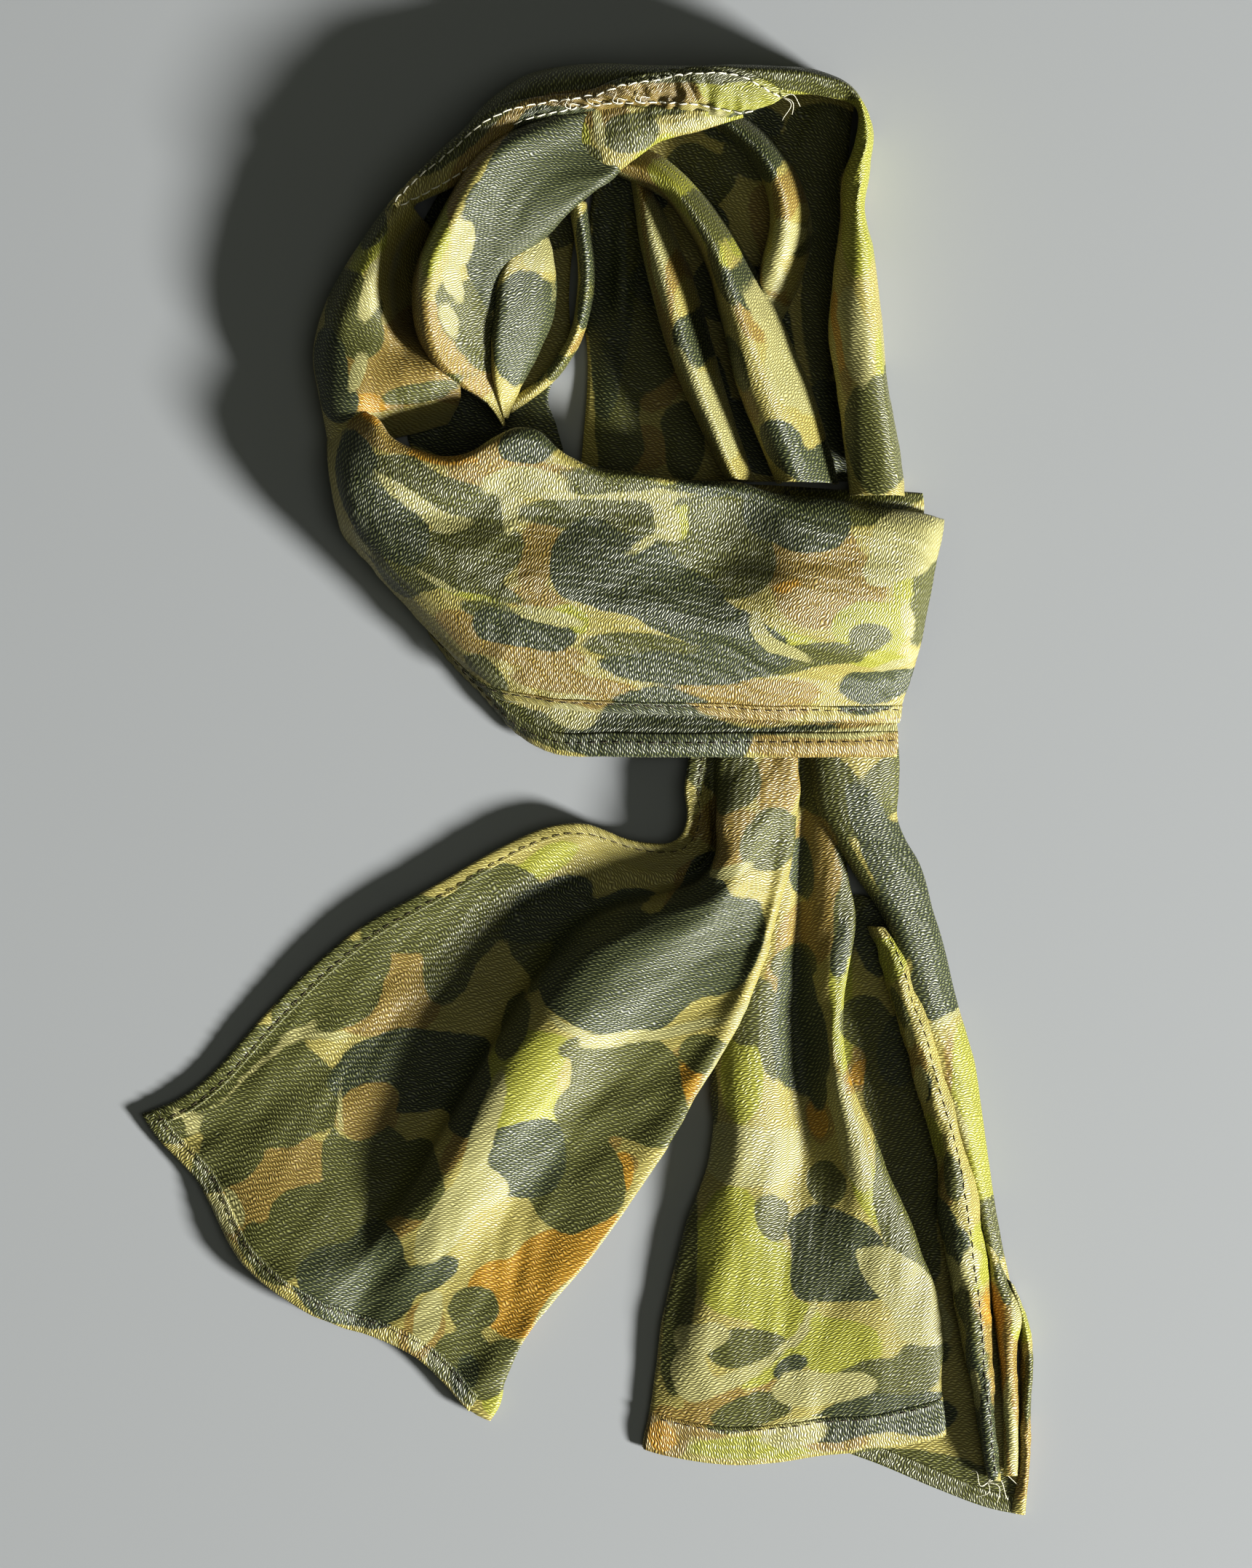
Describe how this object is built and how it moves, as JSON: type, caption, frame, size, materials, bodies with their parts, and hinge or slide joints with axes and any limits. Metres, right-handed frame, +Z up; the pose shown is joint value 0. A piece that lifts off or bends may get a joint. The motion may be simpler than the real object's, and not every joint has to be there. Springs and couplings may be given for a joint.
{
  "type": "hooded head wrap",
  "caption": "Hooded head and neck wrap of printed satin crepe, laid flat, with a crossed neck wrap and two loose hemmed tails that fan out.",
  "frame": {"origin": "on the surface that the wrap lies on, under the middle of its bounding box", "axes": "+Y from the tails to the crown, +X to the right when the face opening is up and the crown is at the top, +Z up from the surface"},
  "size_m": [0.3367, 0.5544, 0.0454],
  "materials": {
    "camouflage_cloth": "satin crepe, printed camouflage",
    "hem_cloth": "satin crepe, folded and stitched",
    "pale_thread": "white sewing thread",
    "dark_thread": "dark brown sewing thread"
  },
  "bodies": {
    "hood_and_wrap": {"back_pleat_left": "camouflage_cloth", "back_pleat_middle": "camouflage_cloth", "back_pleat_right": "camouflage_cloth", "crown_brim_flap": "camouflage_cloth", "crown_seam_band": "hem_cloth", "crown_seam_stitches_inner": "pale_thread", "crown_seam_stitches_outer": "pale_thread", "face_edge_band": "camouflage_cloth", "hood_back_panel": "camouflage_cloth", "hood_crown_panel": "camouflage_cloth", "hood_left_panel": "camouflage_cloth", "neck_wrap_back": "camouflage_cloth", "neck_wrap_front": "camouflage_cloth", "neck_wrap_under_layer": "camouflage_cloth", "temple_fold": "camouflage_cloth", "temple_inner_leaf": "camouflage_cloth", "throat_ribbon_fold": "camouflage_cloth", "wrap_back_tab": "camouflage_cloth", "wrap_lower_hem": "hem_cloth", "wrap_lower_hem_stitches": "dark_thread", "wrap_upper_hem": "hem_cloth", "wrap_upper_hem_stitches": "dark_thread"},
    "left_tail": {"left_tail_centre_fold": "camouflage_cloth", "left_tail_end_hem": "hem_cloth", "left_tail_end_stitches": "dark_thread", "left_tail_folded_edge": "camouflage_cloth", "left_tail_outer_panel": "camouflage_cloth", "left_tail_root": "camouflage_cloth", "left_tail_side_hem": "hem_cloth", "left_tail_side_stitches": "dark_thread", "left_tail_throat_twist": "camouflage_cloth"},
    "right_tail": {"right_tail_end_hem": "hem_cloth", "right_tail_end_stitches": "dark_thread", "right_tail_front_panel": "camouflage_cloth", "right_tail_inner_strip": "camouflage_cloth", "right_tail_rear_panel": "camouflage_cloth", "right_tail_root": "camouflage_cloth", "right_tail_side_hem": "hem_cloth", "right_tail_side_stitches": "dark_thread", "right_tail_under_hem": "hem_cloth", "right_tail_under_panel": "camouflage_cloth"}
  },
  "joints": [
    {"name": "left_tail_swing", "type": "hinge", "parent": "hood_and_wrap", "child": "left_tail", "pos_m": [0.06, 0.0245, 0.0065], "axis": [0, 0, 1], "range_deg": [-16, 4]},
    {"name": "right_tail_swing", "type": "hinge", "parent": "hood_and_wrap", "child": "right_tail", "pos_m": [0.1, 0.023, 0.0065], "axis": [0, 0, 1], "range_deg": [-2, 14]}
  ]
}
